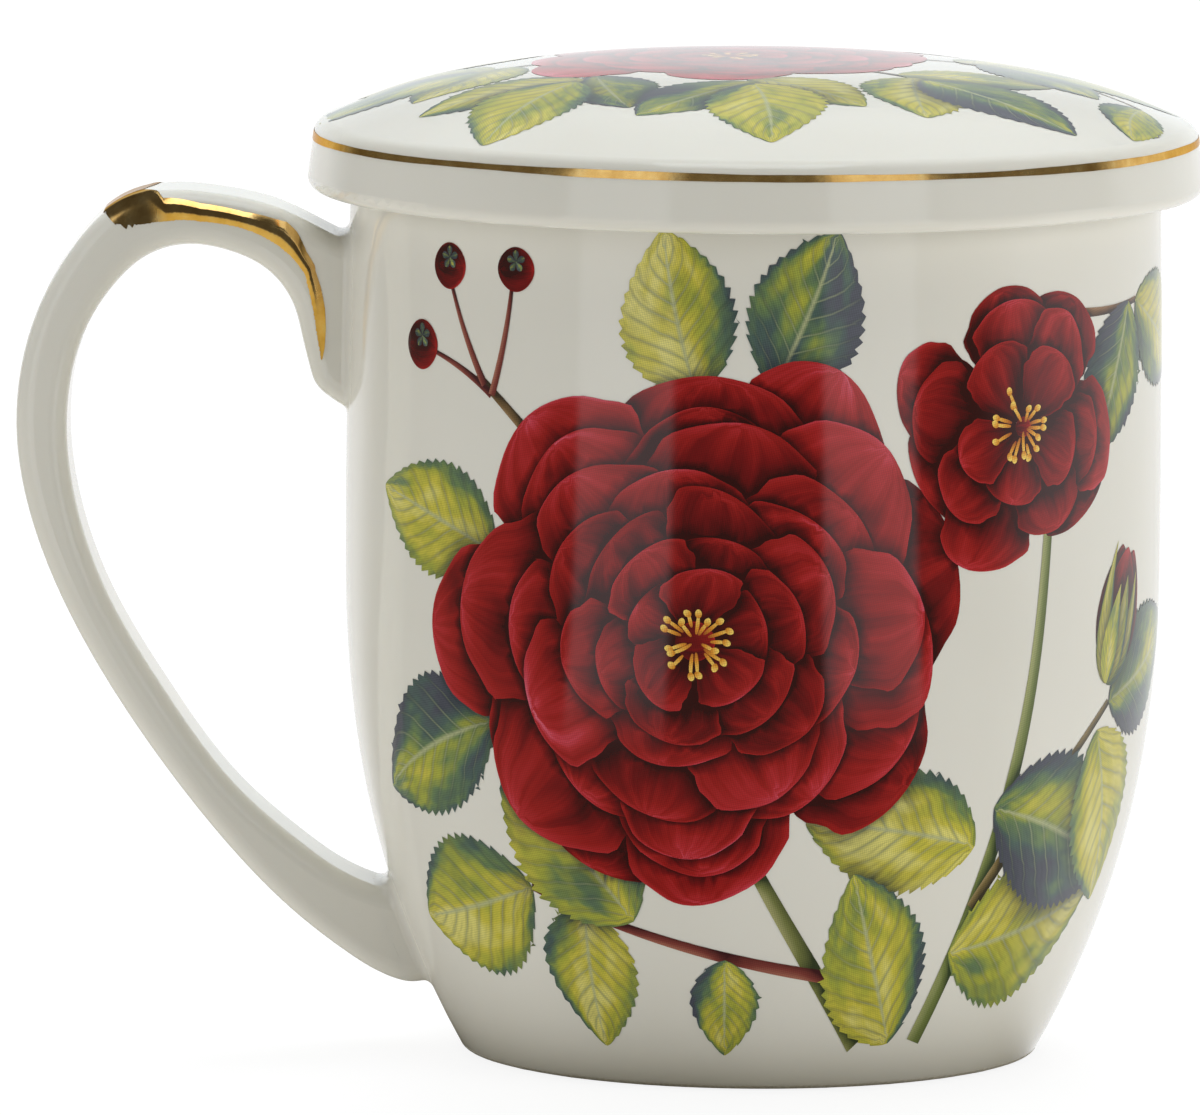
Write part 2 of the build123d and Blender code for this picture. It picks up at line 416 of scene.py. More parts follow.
def print_grain(net, colour):
    """The slanted screen of fine dots that a printed transfer is made of."""
    turned = net.add("ShaderNodeVectorRotate", net.uv("sheet_uv"), rotation_type="Z_AXIS")
    turned.inputs["Angle"].default_value = math.radians(SCREEN_ANGLE_DEG)
    waves = 2 * math.pi * SHEET_UV_MM / SCREEN_PITCH_MM
    x, y, _ = net.parts(turned.outputs[0])
    across = net.math("COSINE", net.times(x, waves))
    up = net.math("COSINE", net.times(y, waves))
    level = net.line(net.times(across, up), SCREEN_CONTRAST, 1.0)
    return net.mix(1.0, colour, net.combine(level, level, level), "MULTIPLY")


def petal_material():
    """Crimson, dark at the root and under other petals, with folds, fine veins and a pale rim."""
    net = new_material("print_petal")
    along, across, shadow, tint, seed = paint_inputs(net)
    offset = net.times(seed, PETAL_SEEDS)
    level = net.line(along, *PETAL_ROOT_TO_TIP)
    for wide, long, gain, shift in (PETAL_FOLDS, PETAL_VEINS):
        place = net.combine(net.times(across, wide), net.line(along, long, offset), offset)
        level = net.plus(level, net.line(net.noise(place, detail=2.0), gain, shift))
    level = net.plus(level, net.line(tint, *PETAL_TINT))
    level = net.minus(level, net.times(shadow, PETAL_SHADOW))
    edge = net.larger(net.math("ABSOLUTE", across), along)
    level = net.line(net.line(edge, *PETAL_RIM, clamp=True), PETAL_RIM_LIGHT, level, clamp=True)
    return glazed(net, print_grain(net, net.ramp(level, PETAL_STOPS)))


def leaf_material():
    """Yellow-green in patches, with blue-green margins, pale veins and dark hatching between them."""
    net = new_material("print_leaf")
    along, across, shadow, tint, seed = paint_inputs(net)
    size = net.math("ABSOLUTE", across)
    offset = net.times(seed, LEAF_SEEDS)

    def pattern(run, long, wide, gain, shift, detail, clamp=False):
        place = net.combine(net.line(run, long, offset), net.times(across, wide), offset)
        return net.line(net.noise(place, detail=detail), gain, shift, clamp)

    def add_line(colour, distance, sharpness, strength, tone, fade=1.0):
        line = net.times(net.minus(1.0, net.times(distance, sharpness), clamp=True), fade)
        return net.mix(net.times(line, strength), colour, tone)

    level = net.plus(pattern(along, *LEAF_PATCHES, detail=3.0), net.line(tint, *LEAF_TINT))
    level = net.plus(level, net.times(across, LEAF_LIT_SIDE))
    level = net.minus(level, net.times(net.times(size, size), LEAF_DARK_MARGIN), clamp=True)
    colour = net.ramp(level, LEAF_STOPS)
    vein_run = net.minus(net.times(along, VEIN_PAIRS), net.times(size, VEIN_SLANT))
    from_vein = net.math("PINGPONG", vein_run, 0.5)
    colour = add_line(colour, from_vein, *VEIN_SHADE)
    colour = add_line(colour, from_vein, *SIDE_VEIN, fade=net.minus(VEIN_END, size, clamp=True))
    colour = add_line(colour, size, *MIDRIB)
    hatch = pattern(vein_run, *LEAF_HATCH, detail=2.0, clamp=True)
    dark = net.plus(hatch, net.times(shadow, LEAF_SHADOW), clamp=True)
    return glazed(net, print_grain(net, net.mix(dark, colour, LEAF_DARK)))


def stem_material():
    """Mottled green or, where its tint is high, red."""
    net = new_material("print_stem")
    along, across, shadow, tint, seed = paint_inputs(net)
    offset = net.times(seed, STEM_SEEDS)
    mottle = net.noise(net.combine(net.line(along, STEM_MOTTLE_SCALE, offset), across, offset))
    level = net.plus(net.line(across, *STEM_LIT_SIDE), net.times(mottle, STEM_MOTTLE))
    level = net.minus(level, net.times(shadow, STEM_SHADOW), clamp=True)
    colour = net.mix(tint, net.ramp(level, STEM_GREEN), net.ramp(level, STEM_RED))
    return glazed(net, print_grain(net, colour))


def stamen_material():
    """Orange at the root and yellow at the tip."""
    net = new_material("print_stamen")
    along, _, _, tint, _ = paint_inputs(net)
    level = net.plus(net.times(along, STAMEN_ROOT_TO_TIP), net.times(tint, STAMEN_TINT), clamp=True)
    return glazed(net, print_grain(net, net.ramp(level, STAMEN_STOPS)))


# ==== materials: metal ====
GOLD_BRIGHT = [(0.3, (0.6, 0.34, 0.1)), (0.55, (0.78, 0.5, 0.18)), (0.8, (0.92, 0.68, 0.32))]
# The duller gold, brighter and yellower than the burnished gold: on the handle's band and tip this is a
# painted reflection of the table.
GOLD_SATIN_AND_REFLECTION = [(0.3, (0.88, 0.47, 0.06)), (0.55, (1.0, 0.6, 0.12)), (0.8, (1.0, 0.72, 0.22))]
GOLD_SPECULAR = rgb(0.72, 0.5, 0.24)
GOLD_METALLIC = (-0.9, 1.0)
GOLD_BRIGHT_ROUGHNESS = (0.16, 0.03)
GOLD_SATIN_ROUGHNESS = 0.42
STEEL_STOPS = [(0.2, (0.46, 0.455, 0.45)), (0.8, (0.66, 0.655, 0.645))]
STEEL_ROUGHNESS = (0.18, 0.16)
STEEL_LINES_ROUND = 0.6
STEEL_LINES_UP = 5200.0


def gold_material():
    """Fired gold lustre: a mirror where it was burnished, and elsewhere a rougher, yellower paint; on the
    handle's band and tip that paint is also brighter, a painted reflection of the table below.
    """
    net = new_material("fired_gold")
    place = net.object_place()
    satin = net.attribute("satin", "Fac")
    wear = net.noise(place, scale=420.0, detail=4.0, roughness=0.6)
    colour = net.mix(satin, net.ramp(wear, GOLD_BRIGHT), net.ramp(wear, GOLD_SATIN_AND_REFLECTION))
    rough = net.line(satin, GOLD_SATIN_ROUGHNESS, net.line(wear, *GOLD_BRIGHT_ROUGHNESS))
    brush = net.bump(net.noise(place, scale=900.0, detail=2.0), strength=0.08, depth_mm=0.1)
    metallic = net.line(satin, *GOLD_METALLIC)
    return net.finish(net.principled(colour, rough, brush, Metallic=metallic, Specular_Tint=GOLD_SPECULAR))


def steel_material():
    """Steel brushed round its axis."""
    net = new_material("brushed_steel")
    x, y, z = net.parts(net.object_place())
    turn = net.times(net.math("ARCTAN2", y, x), STEEL_LINES_ROUND)
    grain = net.noise(net.combine(turn, 0.0, net.times(z, STEEL_LINES_UP)))
    rough = net.line(grain, *STEEL_ROUGHNESS)
    lines = net.bump(grain, strength=0.08, depth_mm=0.05)
    return net.finish(net.principled(net.ramp(grain, STEEL_STOPS), rough, lines, Metallic=1.0))


# ==== printed shapes ====
PETAL, LEAF, STEM, STAMEN = range(4)
LEAST_HALF_WIDTH_MM = 0.02
STEM_TAPER = 0.45
LEAST_OUTLINE_STEPS = 30
STEPS_PER_TOOTH = 6


@dataclass
class Shape:
    """One printed petal, leaf or stroke: a bent axis from a base point, and a half-width along it."""

    kind: int
    base: tuple
    angle: float
    length: float
    half_width: float
    bend: float = 0.0
    tint: float = 0.5
    seed: float = 0.5
    teeth: int = 0
    fullness: float = 0.6
    middle: float = 1.7
    ruffle: float = 0.0

    def __post_init__(self):
        self.base = np.array(self.base, dtype=float)

    def width_at(self, u, side):
        """Half-width at a share of the length; side is +1 or -1."""
        u = np.clip(u, 1e-4, 1.0 - 1e-4)
        if self.kind == STEM:
            return self.half_width * (1.0 - STEM_TAPER * u)
        width = self.half_width * np.sin(np.pi * u**self.middle) ** self.fullness
        if self.ruffle:
            phase = 40.0 * self.seed + 2.0 * side
            wave = np.sin(5.0 * u * np.pi + phase) + 0.6 * np.sin(11.0 * u * np.pi + 2.3 * phase)
            width = width * (1.0 + self.ruffle * wave)
        if self.teeth:
            tooth = (u * self.teeth) % 1.0
            width = width * (0.93 + 0.09 * tooth) + 0.02 * self.half_width * tooth
        return np.maximum(width, LEAST_HALF_WIDTH_MM)

    def axis_lift(self, u):
        return self.bend * self.length * u**2

    def turn(self):
        """Turns rows of points from the shape's own axes to the sheet's."""
        cosine, sine = math.cos(self.angle), math.sin(self.angle)
        return np.array([[cosine, sine], [-sine, cosine]])

    def outward(self, u, v):
        """Sheet points, in mm, for shares along and across."""
        side = np.where(v < 0, -1.0, 1.0)
        x = u * self.length
        y = v * self.width_at(u, side) + self.axis_lift(u)
        return np.stack([x, y], axis=-1) @ self.turn() + self.base

    def inward(self, points):
        """Shares along and across for sheet points."""
        local = (points - self.base) @ self.turn().T
        u = local[:, 0] / self.length
        y = local[:, 1] - self.axis_lift(np.clip(u, 0.0, 1.0))
        v = y / self.width_at(u, np.where(y < 0, -1.0, 1.0))
        return u, v

    def outline(self):
        steps = max(LEAST_OUTLINE_STEPS, STEPS_PER_TOOTH * self.teeth)
        u = 0.5 - 0.5 * np.cos(np.pi * np.arange(steps + 1) / steps)
        if self.teeth or self.kind == STEM:
            u = np.arange(steps + 1) / steps
        right = self.outward(u, np.full_like(u, -1.0))
        left = self.outward(u[::-1], np.full_like(u, 1.0))
        return np.concatenate([right, left])

    def distance_outside(self, points):
        """About how far points lie outside the shape, in mm; negative inside."""
        u, v = self.inward(points)
        side = np.where(v < 0, -1.0, 1.0)
        across = (np.abs(v) - 1.0) * self.width_at(u, side)
        ends = np.maximum(u - 1.0, -u) * self.length
        return np.maximum(across, ends)


def disc(centre, radius, rng, tint=0.1):
    base = (centre[0] - radius, centre[1])
    return Shape(
        PETAL, base, 0.0, 2 * radius, radius, tint=tint, seed=rng.uniform(),
        fullness=0.5, middle=1.0)


# Rings of petals from the outside in: reach, count, width and root, as shares of the bloom's radius.
FULL_RINGS = [
    (1.0, 9, 0.66, 0.1), (0.9, 8, 0.6, 0.08), (0.76, 8, 0.54, 0.06), (0.62, 7, 0.48, 0.05),
    (0.49, 6, 0.42, 0.04), (0.37, 6, 0.34, 0.03), (0.26, 5, 0.27, 0.02),
]
OPEN_RINGS = [(1.0, 7, 0.78, 0.06), (0.84, 6, 0.66, 0.04), (0.58, 5, 0.5, 0.03)]
BLOOM_SQUASH = 0.94
BLOOM_HEART = 0.07
PETAL_SWING = 0.1
PETAL_LEAN = 0.08
PETAL_LENGTHS = (0.9, 1.1)
PETAL_WIDTHS = (0.9, 1.12)
FILAMENT_SWING = 0.15
FILAMENT_STARTS = (0.1, 0.45)
FILAMENT_LENGTHS = (0.3, 0.55)
TIP_SWING = 0.6
TIP_OVERLAP_MM = 0.35
LEAF_TEETH_PER_MM = 0.8
LEAST_LEAF_TEETH = 8
# A bud's petals, by spread and tint, and the spreads of its sepals.
BUD_PETALS = ((0.22, 0.3), (-0.2, 0.7), (0.02, 0.9))
BUD_SEPALS = (-0.75, 0.7, -0.28, 0.3)
STAR_POINTS_DEG = range(20, 380, 72)


def heading(angle):
    return np.array([math.cos(angle), math.sin(angle)])


def bloom(centre, radius, rng, rings, lighter=0.0):
    """A full double flower: rings of broad petals from the outside in, on a dark heart."""
    shapes = []
    for reach, count, width, root in rings:
        shift = rng.uniform(0, 2 * math.pi)
        for index in rng.permutation(count):
            angle = shift + 2 * math.pi * index / count + rng.normal(0, PETAL_SWING)
            length = radius * (reach - root) * rng.uniform(*PETAL_LENGTHS)
            base = centre + radius * root * (heading(angle) * (1.0, BLOOM_SQUASH))
            aim = angle + rng.normal(0, PETAL_LEAN)
            half_width = radius * width * 0.5 * rng.uniform(*PETAL_WIDTHS)
            shapes.append(Shape(
                PETAL, base, aim, length, half_width, bend=rng.normal(0, 0.09),
                tint=rng.uniform(0.0, 1.0) + lighter, seed=rng.uniform(),
                fullness=rng.uniform(0.44, 0.58), middle=rng.uniform(1.6, 2.2), ruffle=0.045))
    shapes.append(disc(centre, radius * BLOOM_HEART, rng))
    return shapes


def stamens(centre, radius, count, rng):
    """Thin filaments round a bloom's middle, each with a broad tip."""
    shapes = []
    for index in range(count):
        angle = 2 * math.pi * index / count + rng.normal(0, FILAMENT_SWING)
        base = centre + radius * rng.uniform(*FILAMENT_STARTS) * heading(angle)
        filament = Shape(
            STAMEN, base, angle, length=radius * rng.uniform(*FILAMENT_LENGTHS), half_width=0.2,
            bend=rng.normal(0, 0.1), seed=rng.uniform(), tint=rng.uniform(), fullness=0.3, middle=1.0)
        end = filament.outward(np.array([1.0]), np.array([0.0]))[0]
        aim = angle + rng.normal(0, TIP_SWING)
        tip = Shape(
            STAMEN, end - TIP_OVERLAP_MM * heading(aim), aim, length=0.95, half_width=0.36,
            seed=rng.uniform(), tint=1.0, fullness=0.5, middle=1.0)
        shapes += [filament, tip]
    return shapes


def leaf(base, angle_deg, length, width, rng, tint, bend=0.0):
    teeth = max(LEAST_LEAF_TEETH, int(length * LEAF_TEETH_PER_MM))
    return Shape(
        LEAF, base, math.radians(angle_deg), length, width * 0.5, bend=bend, tint=tint,
        seed=rng.uniform(), teeth=teeth, fullness=0.8, middle=0.86)


def stem(start, end, half_width, rng, bend=0.0, tint=0.1):
    """A stroke from one point to another; bend throws its end aside, so the angle makes up for it."""
    gap = np.array(end) - np.array(start)
    run = float(np.hypot(*gap)) / math.sqrt(1 + bend**2)
    angle = math.atan2(gap[1], gap[0]) - math.atan(bend)
    return Shape(STEM, start, angle, run, half_width, bend=bend, tint=tint, seed=rng.uniform())


def bud(base, angle_deg, length, rng):
    """A closed bud: petals wrapped to a point, held by green sepals."""
    angle = math.radians(angle_deg)
    shapes = []
    for spread, tint in BUD_PETALS:
        shapes.append(Shape(
            PETAL, base, angle + spread, length, half_width=length * 0.24, bend=-0.5 * spread,
            tint=tint, seed=rng.uniform(), fullness=0.7, middle=1.0))
    for spread in BUD_SEPALS:
        shapes.append(Shape(
            LEAF, base, angle + spread, length * rng.uniform(0.55, 0.95), half_width=length * 0.11,
            bend=-0.8 * spread, tint=0.75, seed=rng.uniform(), fullness=0.9, middle=0.7))
    return shapes


def berry(x, y, radius, rng):
    """A round fruit with a small dark star of sepals."""
    shapes = [disc((x, y), radius, rng, tint=1.0)]
    for angle in STAR_POINTS_DEG:
        shapes.append(Shape(
            LEAF, (x, y + 0.35 * radius), math.radians(angle), length=0.5 * radius,
            half_width=0.16 * radius, tint=0.1, seed=rng.uniform()))
    return shapes


# ==== designs ====
# X runs round the mug from the middle of the spray, and Y is height. A stem is its start, end,
# half-width, bend and tint; a leaf is its base, angle, length, width, tint and bend; a berry is
# its middle and radius; a bud is its base, angle and length; a bloom is its middle and radius,
# and its stamens' reach and count. What comes later lies on top.
FRONT_SPRAY = {
    "stems": [
        ((24, 5), (35, 64), 1.1, 0.12, 0.1), ((15, 5), (-4, 34), 1.2, -0.15, 0.2),
        ((28, 20), (47, 41), 0.8, -0.2, 0.5), ((10, 13), (-27, 22), 0.75, -0.1, 1),
        ((-16, 62), (-32, 77), 0.8, 0.1, 0.6), ((-30, 75), (-39, 79), 0.45, 0.2, 1),
        ((-31, 76), (-36, 86), 0.45, -0.1, 1), ((-30, 75), (-27.5, 86.5), 0.45, 0.1, 1),
        ((36, 84), (52, 84), 0.6, 0.15, 0.7),
    ],
    "leaves": [
        ((26, 15), 6, 25, 17, 0.8, 0.1), ((29, 31), -14, 25, 17, 0.15, -0.12),
        ((27, 27), 165, 21, 14, 0.85, 0.1), ((20, 5), 118, 21, 14, 0.75, -0.1),
        ((-27, 22), 200, 22, 16, 0.75, -0.1), ((-20, 20.5), 262, 16, 13, 0.9, 0.1),
        ((-14, 19), 128, 22, 16, 0.6, 0.1), ((-3, 15), 268, 11, 9, 0.55, 0),
        ((-30, 40), 196, 22, 15, 0.2, 0.15), ((-29, 58), 158, 20, 13, 0.8, 0.1),
        ((-6, 76), 108, 18, 13, 0.9, -0.1), ((2, 77), 62, 18, 13, 0.3, 0.1),
        ((16, 66), 200, 9, 6, 0.6, 0), ((52, 84), -28, 20, 13, 0.7, 0.1),
        ((50, 84), -110, 18, 12, 0.25, -0.1), ((47, 41), 14, 20, 14, 0.3, 0.1),
        ((45, 38), -62, 21, 14, 0.8, -0.1),
    ],
    "berries": [(-41, 79.5, 2.7), (-36.5, 88.3, 2.5), (-27, 88.6, 2.4)],
    "bud": ((46, 43), 72, 15),
    "full_bloom": ((-6, 50), 30.5, 4.6, 17),
    "open_bloom": ((31, 72), 15.5, 4.4, 15),
}
BACK_SPRAY = {
    "stems": [
        ((14, 5), (24, 60), 1.1, 0.12, 0.2), ((10, 6), (-7, 32), 1.1, -0.1, 0.3),
        ((-14, 56), (-30, 78), 0.8, 0.15, 0.5), ((1.2, 17.6), (-32, 20), 0.7, 0.08, 1),
    ],
    "leaves": [
        ((17, 16), 10, 23, 16, 0.75, 0.1), ((19, 30), -10, 22, 15, 0.2, -0.1),
        ((17, 30), 40, 20, 14, 0.85, 0.1), ((10, 10), 130, 16, 11, 0.8, 0.1),
        ((-32, 20), 185, 20, 14, 0.3, 0.1), ((-22, 20), 250, 14, 11, 0.85, 0),
        ((-20, 21), 118, 18, 13, 0.65, 0.1), ((-23, 68), 60, 19, 13, 0.8, 0.1),
        ((-24, 68), 168, 19, 13, 0.25, -0.1), ((24, 78.4), 80, 12, 9, 0.7, 0),
    ],
    "berries": [],
    "bud": ((-30, 77), 118, 14),
    "full_bloom": ((-7, 44), 21, 3.6, 13),
    "open_bloom": ((24, 68), 13, 3.8, 13),
}


def spray(design, middle, rng):
    """One spray on the body, from the lowest layer to the highest."""
    shift = np.array((middle, 0.0))
    shapes = []
    for start, end, half_width, bend, tint in design["stems"]:
        shapes.append(stem(shift + start, shift + end, half_width, rng, bend, tint))
    for base, angle, length, width, tint, bend in design["leaves"]:
        shapes.append(leaf(shift + base, angle, length, width, rng, tint, bend))
    for x, y, radius in design["berries"]:
        shapes += berry(middle + x, y, radius, rng)
    base, angle, length = design["bud"]
    shapes += bud(shift + base, angle, length, rng)
    for name, rings in (("full_bloom", FULL_RINGS), ("open_bloom", OPEN_RINGS)):
        centre, radius, stamen_reach, stamen_count = design[name]
        shapes += bloom(shift + centre, radius, rng, rings)
        shapes += stamens(shift + centre, stamen_reach, stamen_count, rng)
    return shapes


LID_MIDDLE_MM = (-3.0, 3.0)
# Twigs by angle, reach, bend and their leaves' tints, and leaves by share of the reach, swing and length.
LID_TWIGS = [
    (232, 36, 0.12, (0.25, 0.8, 0.7)), (276, 35, -0.1, (0.85, 0.35, 0.75)),
    (318, 38, 0.1, (0.7, 0.9, 0.2)), (2, 39, -0.12, (0.8, 0.3, 0.6)),
    (52, 36, 0.1, (0.3, 0.75, 0.85)), (98, 36, -0.1, (0.85, 0.6, 0.25)),
    (146, 38, 0.12, (0.6, 0.25, 0.8)), (190, 37, -0.1, (0.8, 0.85, 0.35)),
]
LID_TWIG_LEAVES = [(0.64, 46, 17), (0.7, -42, 18), (0.74, 3, 20)]
LID_LEAF_SWING_DEG = 5
LID_LEAF_WIDTH = 0.66
LID_TWIG_MARGIN_MM = 12


def lid_design(rng):
    """The lid's print: a bloom on the crown and leafy twigs that reach out nearly to the gold line."""
    middle = np.array(LID_MIDDLE_MM)
    shapes = [stem((22.0, 3.2), (41.6, -6.4), 0.45, rng, -0.1, 0.6)]
    for angle, reach, bend, tints in LID_TWIGS:
        out = heading(math.radians(angle))
        start = middle + LID_TWIG_MARGIN_MM * out
        end = middle + (reach - LID_TWIG_MARGIN_MM) * out
        shapes.append(stem(start, end, half_width=0.6, rng=rng, bend=bend, tint=rng.uniform(0.2, 1.0)))
        for (share, swing, length), tint in zip(LID_TWIG_LEAVES, tints):
            aim = angle + swing + rng.normal(0, LID_LEAF_SWING_DEG)
            base = middle + share * reach * out
            shapes.append(leaf(base, aim, length, LID_LEAF_WIDTH * length, rng, tint, bend))
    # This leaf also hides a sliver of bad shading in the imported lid, at the seam of crown and shoulder.
    shapes.append(leaf((41.6, -6.6), -106, 16, 7.2, rng, 0.7, 0.2))
    shapes += bloom(middle, radius=23.0, rng=rng, rings=FULL_RINGS, lighter=0.6)
    shapes += stamens(middle, radius=3.6, count=13, rng=rng)
    return shapes


# ==== print meshes ====
def sheet_normals(points, surface):
    """The bare surface's own directions, so that the print shines as one with the glaze round it."""
    right = np.array([NORMAL_STEP_MM, 0.0])
    up = np.array([0.0, NORMAL_STEP_MM])
    across = surface(points + right) - surface(points - right)
    along = surface(points + up) - surface(points - up)
    normals = np.cross(across, along)
    return normals / np.linalg.norm(normals, axis=1, keepdims=True)


def joined_outlines(shapes):
    """All the outlines' points in one list, and the edges that close each outline."""
    points = []
    edges = []
    for shape in shapes:
        outline = shape.outline()
        first = len(points)
        count = len(outline)
        points.extend(outline.tolist())
        edges.extend((first + step, first + (step + 1) % count) for step in range(count))
    return points, edges


def filler_grid(low, high):
    """A triangular grid between two corners, fine enough to follow the curved china."""
    grid = []
    row = 0
    y = low[1]
    while y < high[1]:
        for x in np.arange(low[0] + 0.5 * PRINT_GRID_MM * (row % 2), high[0], PRINT_GRID_MM):
            grid.append((x, y))
        y += PRINT_GRID_MM * GRID_ROW_SHARE
        row += 1
    return grid


def cut_sheet(shapes, keep_inside):
    """Outlines cut the plane into triangles, and each takes its topmost shape; none overlap."""
    coords, edges = joined_outlines(shapes)
    corners = np.array(coords)
    coords.extend(filler_grid(corners.min(axis=0), corners.max(axis=0)))
    result = delaunay_2d_cdt([Vector(point) for point in coords], edges, [], 0, OUTLINES_MEET_MM, False)
    points = np.array([tuple(point) for point in result[0]])
    triangles = np.array(result[2])
    centres = points[triangles].mean(axis=1)
    top = np.full(len(triangles), -1)
    for index, shape in enumerate(shapes):
        u, v = shape.inward(centres)
        top[(u >= 0) & (u <= 1) & (np.abs(v) <= 1)] = index
    top[~keep_inside(centres)] = -1
    side_a = points[triangles[:, 1]] - points[triangles[:, 0]]
    side_b = points[triangles[:, 2]] - points[triangles[:, 0]]
    area = 0.5 * (side_a[:, 0] * side_b[:, 1] - side_a[:, 1] * side_b[:, 0])
    keep = (top >= 0) & (np.abs(area) > LEAST_TRIANGLE_MM2)
    triangles = triangles[keep]
    flip = area[keep] < 0
    triangles[flip] = triangles[flip][:, ::-1]
    used, triangles = np.unique(triangles, return_inverse=True)
    return points[used], triangles.reshape(-1, 3), top[keep]


def painted(shapes, index, points):
    """Shares along and across a shape at points, and the shadow that the shapes above it cast there."""
    shape = shapes[index]
    u, v = shape.inward(points)
    place = np.stack([np.clip(u, 0, 1), np.clip(v, -1, 1) * 0.5 + 0.5], axis=-1)
    nearest = np.full(len(points), SHADOW_NONE_MM)
    for above in shapes[index + 1:]:
        if above.kind != STAMEN and np.hypot(*(above.base - shape.base)) < NEIGHBOUR_MM:
            nearest = np.minimum(nearest, above.distance_outside(points))
    return place, np.exp(-np.maximum(nearest, 0.0) / SHADOW_REACH_MM)


def print_piece(name, body, shapes, surface, keep_inside):
    """One printed sheet on a body, with a material for each kind of shape."""
    points, triangles, top = cut_sheet(shapes, keep_inside)
    mesh = bpy.data.meshes.new(name)
    mesh.from_pydata(surface(points).tolist(), [], triangles.tolist())
    uv = np.zeros((len(triangles), 3, 2))
    paint = np.zeros((len(triangles), 3, 4))
    paint[..., 3] = 1.0
    for index in np.unique(top):
        mine = top == index
        place, shadow = painted(shapes, index, points[triangles[mine]].reshape(-1, 2))
        uv[mine] = place.reshape(-1, 3, 2)
        paint[mine, :, 0] = shadow.reshape(-1, 3)
        paint[mine, :, 1] = shapes[index].tint
        paint[mine, :, 2] = shapes[index].seed
    mesh.uv_layers.new(name="shape_uv").data.foreach_set("uv", uv.reshape(-1))
    sheet_uv = points[triangles] / SHEET_UV_MM
    mesh.uv_layers.new(name="sheet_uv").data.foreach_set("uv", sheet_uv.reshape(-1))
    colour = mesh.color_attributes.new(name="paint", type="FLOAT_COLOR", domain="CORNER")
    colour.data.foreach_set("color", paint.reshape(-1))
    mesh.polygons.foreach_set("material_index", [shapes[index].kind for index in top])
    piece = new_piece(name, mesh, body, print_materials, sheet_normals(points, surface))


# ==== CAD materials ====
china = china_material()
steel = steel_material()
gold = gold_material()
print_materials = [petal_material(), leaf_material(), stem_material(), stamen_material()]
for node_name, node_object in nodes.items():
    node_object.data.materials.clear()
    node_object.data.materials.append(steel if node_name.startswith("infuser") else china)

# ==== prints ====
lid_surface = Surface("lid")
mug_radius = Profile(BODY_READINGS_MM, outside_radius(Surface("mug_body"), BODY_READINGS_MM))
lid_top = Profile(LID_READINGS_MM, top_height(lid_surface, LID_READINGS_MM))


def on_body(points):
    """Sheet points wrapped round the mug, just outside its glaze."""
    angle = points[:, 0] / PRINT_RADIUS_MM
    radius = mug_radius(points[:, 1]) + PRINT_LIFT_MM
    return np.stack([radius * np.sin(angle), -radius * np.cos(angle), points[:, 1]], axis=-1) * MM


def on_lid(points):
    """Sheet points laid on the lid's top, just above its glaze."""
    height = lid_top(np.hypot(points[:, 0], points[:, 1])) + PRINT_LIFT_MM
    return np.stack([points[:, 0], points[:, 1], height], axis=-1) * MM


def inside_body_print(points):
    return (points[:, 1] > BODY_PRINT_LOW_MM) & (points[:, 1] < BODY_PRINT_HIGH_MM)


def inside_lid_print(points):
    return np.hypot(points[:, 0], points[:, 1]) < LID_PRINT_RADIUS_MM


body_rng = np.random.default_rng(7)
body_shapes = spray(FRONT_SPRAY, 0.0, body_rng) + spray(BACK_SPRAY, BACK_PRINT_MIDDLE_MM, body_rng)
print_piece("print_body", "mug", body_shapes, on_body, inside_body_print)
print_piece("print_lid", "lid", lid_design(np.random.default_rng(11)), on_lid, inside_lid_print)


# ==== gold ====
def gold_sheet(name, body, rows, satin, closed=False, leans=None):
    """A thin sheet over a grid of points in mm; a share from 0 to 1 at each point dulls the gold and paints
    it a brighter yellow, which on the handle is a painted reflection.
    """
    count, width = rows.shape[:2]
    mesh = bpy.data.meshes.new(name)
    faces = []
    for row in range(count if closed else count - 1):
        after = (row + 1) % count
        for column in range(width - 1):
            corners = ((row, column), (row, column + 1), (after, column + 1), (after, column))
            faces.append([line * width + place for line, place in corners])
    mesh.from_pydata((rows.reshape(-1, 3) * MM).tolist(), [], faces)
    mesh.attributes.new("satin", "FLOAT", "POINT").data.foreach_set("value", satin.reshape(-1))
    piece = new_piece(name, mesh, body, [gold], leans)


def wobble(angle, rng, amount, waves):
    """A brush's unsteadiness round a closed line."""
    total = np.zeros_like(angle)
    for wave in waves:
        total += rng.normal(0, 1) * np.sin(wave * angle + rng.uniform(0, 2 * math.pi))
    return amount * total / math.sqrt(len(waves))


def make_gold_line():
    rng = np.random.default_rng(3)
    angle = 2 * math.pi * np.arange(LINE_STEPS) / LINE_STEPS
    middle = LINE_HEIGHT_MM + wobble(angle, rng, LINE_WANDER_MM, LINE_WANDER_WAVES)
    width = LINE_WIDTH_MM * (1.0 + wobble(angle, rng, LINE_SWELL, LINE_SWELL_WAVES))
    shoulder = Profile(SHOULDER_READINGS_MM, outside_radius(lid_surface, SHOULDER_READINGS_MM))
    across = np.linspace(-0.5, 0.5, LINE_ROWS)
    z = middle[:, None] + width[:, None] * across[None, :]
    radius = shoulder(z) + GOLD_LIFT_MM
    rows = np.stack([radius * np.cos(angle)[:, None], radius * np.sin(angle)[:, None], z], axis=-1)
    gold_sheet("gold_line", "lid", rows, np.full(z.shape, LINE_SATIN), closed=True)


def face_direction(out, side, tilt_deg):
    """From straight sideways at 0 degrees to straight out of the strap at 90."""
    tilt = math.radians(tilt_deg)
    return out * math.sin(tilt) + Vector((0, side, 0)) * math.cos(tilt)


